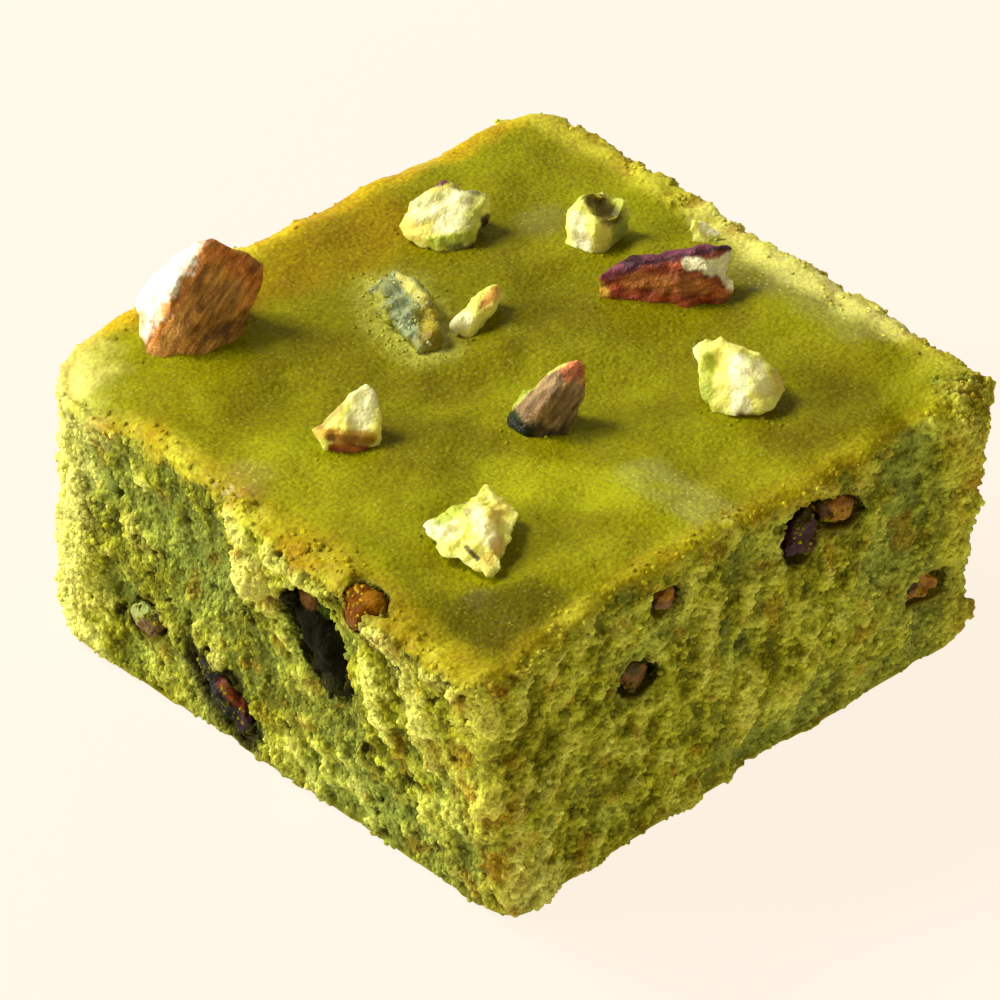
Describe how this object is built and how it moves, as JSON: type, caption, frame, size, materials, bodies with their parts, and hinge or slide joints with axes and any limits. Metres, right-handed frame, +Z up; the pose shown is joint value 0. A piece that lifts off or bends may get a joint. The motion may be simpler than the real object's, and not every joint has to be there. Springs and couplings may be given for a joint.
{
  "type": "pistachio barfi",
  "caption": "Hand-cut square of green pistachio barfi with a smooth top, crumbly cut sides and chopped nuts pressed into it.",
  "frame": {"origin": "middle of the block's outline, on its flat underside", "axes": "+Z up; the cut sides that the picture shows face -X and -Y"},
  "size_m": [0.045, 0.0448, 0.0254],
  "materials": {
    "fudge": "soft fudge, matt on the cuts with a faint sheen on top",
    "pale_kernel": "broken pale kernel",
    "gold_kernel": "broken golden kernel",
    "brown_skin": "papery brown skin",
    "purple_skin": "purple and red-brown skin",
    "coated_kernel": "kernel dusted with fudge crumbs",
    "amber_kernel": "translucent amber kernel",
    "dark_kernel": "dark skin, cut through",
    "brown_bit": "brown nut, cut through"
  },
  "bodies": {
    "root": {"barfi_block": "fudge", "cut_bit_back": "brown_bit", "cut_bit_behind": "brown_bit", "cut_bit_brown": "brown_bit", "cut_bit_far": "brown_bit", "cut_bit_grey": "coated_kernel", "cut_bit_rim": "brown_bit", "cut_nut_amber": "amber_kernel", "cut_nut_back": "brown_bit", "cut_nut_behind": "brown_bit", "cut_nut_dark": "dark_kernel", "cut_nut_low": "dark_kernel", "cut_nut_purple": "dark_kernel", "cut_nut_tan": "amber_kernel", "nut_brown_skin": "brown_skin", "nut_cream_wedge": "pale_kernel", "nut_crumbled": "pale_kernel", "nut_cup": "pale_kernel", "nut_dark_teardrop": "brown_skin", "nut_green_back": "pale_kernel", "nut_pale_flake": "pale_kernel", "nut_purple_red": "purple_skin", "nut_rim_crumb": "pale_kernel", "nut_sliver": "gold_kernel", "nut_sunken": "coated_kernel"}
  },
  "joints": []
}
